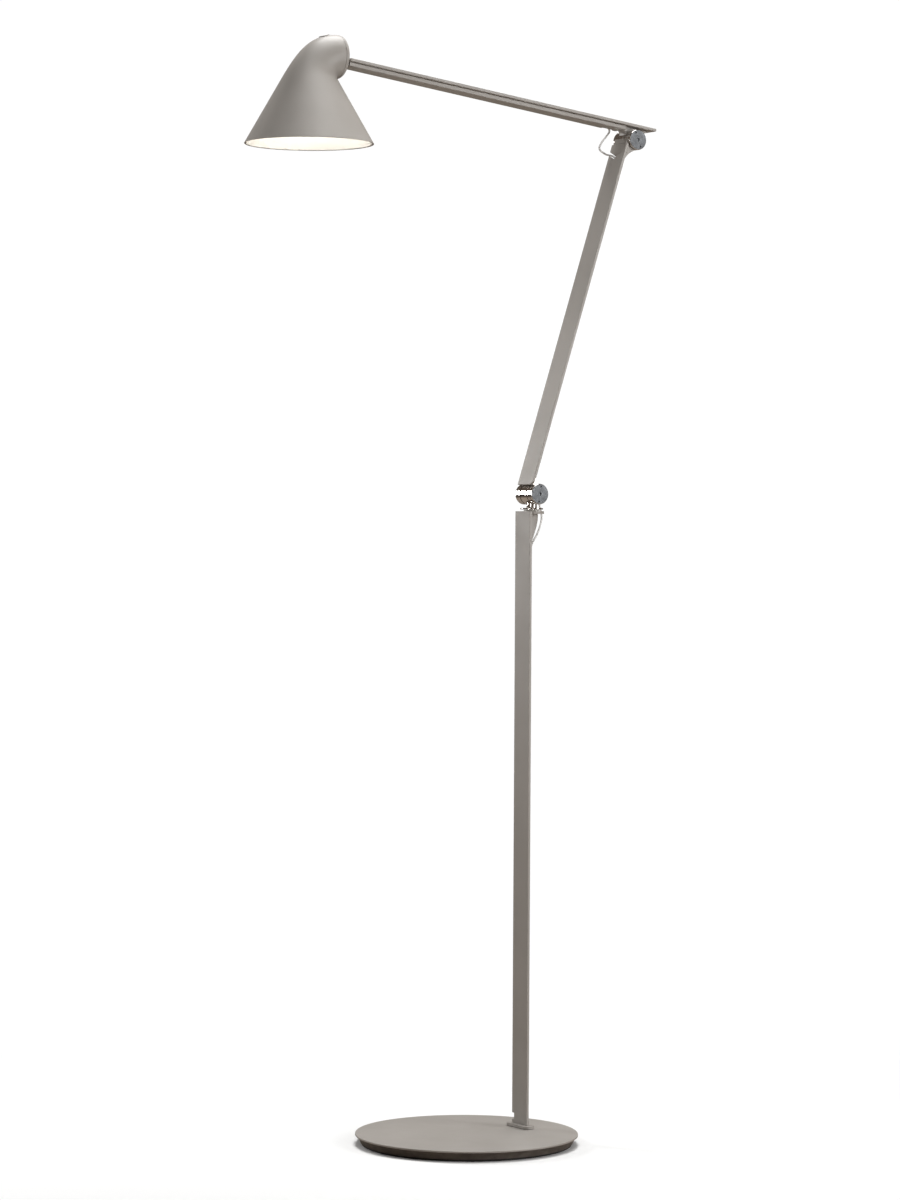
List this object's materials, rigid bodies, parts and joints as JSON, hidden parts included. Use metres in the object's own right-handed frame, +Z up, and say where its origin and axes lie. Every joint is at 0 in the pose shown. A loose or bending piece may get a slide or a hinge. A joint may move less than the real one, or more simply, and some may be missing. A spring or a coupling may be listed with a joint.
{
  "type": "floor lamp",
  "caption": "Reading floor lamp: heavy round base, flat upright, two flat arms folding on round friction hinges, swivel at the lower hinge, small cone shade with a bent neck.",
  "frame": {"origin": "centre of the base's underside, on the floor", "axes": "+Z up; the upright and both arms lie in the plane Y=0, the shade reaches towards -X and every hinge turns about Y"},
  "size_m": [0.5224, 0.25, 1.226],
  "materials": {
    "paint": "warm light grey powder coat, satin",
    "chrome": "polished chrome plate",
    "steel": "fine turned steel",
    "black_steel": "black oxide steel",
    "iron": "dark lacquered cast iron",
    "rubber": "matt black sheet",
    "nylon": "natural nylon",
    "fibre": "red fibre",
    "cord": "smooth pale grey jacket",
    "white": "white satin enamel",
    "opal": "opal sheet, lit from behind",
    "board": "white solder mask",
    "green": "green solder mask",
    "aluminium": "cast aluminium",
    "black": "moulded black plastic"
  },
  "bodies": {
    "base": {"base_plate": "paint", "base_weight": "iron", "base_pad": "rubber", "weight_screw_1": "black_steel", "weight_screw_2": "black_steel", "weight_screw_3": "black_steel", "foot_collar": "paint", "foot_block": "black_steel", "foot_screw_left": "black_steel", "foot_screw_right": "black_steel", "upright_bar": "paint", "upright_cover": "paint", "cord_gland": "black", "upright_cord": "cord", "swivel_bracket": "paint", "swivel_bush": "nylon"},
    "swivel": {"swivel_stud": "chrome", "swivel_screw": "black_steel", "swivel_knuckle": "chrome", "lower_bush_left": "nylon", "lower_bush_right": "nylon", "lower_cord_loop": "cord"},
    "lower_arm": {"lower_arm_bar": "paint", "lower_fork": "chrome", "lower_arm_cover": "paint", "lower_arm_cord": "cord", "lower_spindle": "steel", "lower_washer_left": "fibre", "lower_washer_right": "fibre", "lower_cap_left": "steel", "lower_cap_right": "steel", "elbow_fork": "paint", "elbow_spindle": "steel", "elbow_washer_left": "fibre", "elbow_washer_right": "fibre", "elbow_cap_left": "steel", "elbow_cap_right": "steel", "elbow_cord_loop": "cord"},
    "upper_arm": {"upper_arm_bar": "paint", "upper_arm_cover": "paint", "upper_arm_knuckle": "paint", "upper_arm_cord": "cord", "elbow_bush_left": "nylon", "elbow_bush_right": "nylon"},
    "shade": {"shade_shell": "paint", "neck_cap": "paint", "tilt_block": "aluminium", "tilt_pin": "steel", "tilt_washer_left": "fibre", "tilt_washer_right": "fibre", "reflector": "white", "diffuser": "opal", "led_board": "board", "heat_sink": "aluminium", "driver_board": "green", "button_spring": "steel", "switch_body": "black"},
    "button": {"dimmer_button": "paint"}
  },
  "joints": [
    {"name": "swivel", "type": "hinge", "parent": "base", "child": "swivel", "pos_m": [0.0829, 0, 0.7093], "axis": [0, 0, 1], "range_deg": [-160, 160], "deforming": ["lower_cord_loop"]},
    {"name": "lower_hinge", "type": "hinge", "parent": "swivel", "child": "lower_arm", "pos_m": [0.0829, 0, 0.7286], "axis": [0, 1, 0], "range_deg": [-78, 42], "deforming": ["lower_cord_loop"]},
    {"name": "elbow_hinge", "type": "hinge", "parent": "lower_arm", "child": "upper_arm", "pos_m": [0.215, 0, 1.13518], "axis": [0, 1, 0], "range_deg": [-24, 75], "deforming": ["elbow_cord_loop"]},
    {"name": "head_tilt", "type": "hinge", "parent": "upper_arm", "child": "shade", "pos_m": [-0.19108, 0, 1.20178], "axis": [0, 1, 0], "range_deg": [-13, 22]},
    {"name": "button_press", "type": "slide", "parent": "shade", "child": "button", "axis": [0.2756, 0, -0.9613], "range_m": [0, 0.001], "stiffness_N_per_m": 400, "deforming": ["button_spring"]}
  ]
}
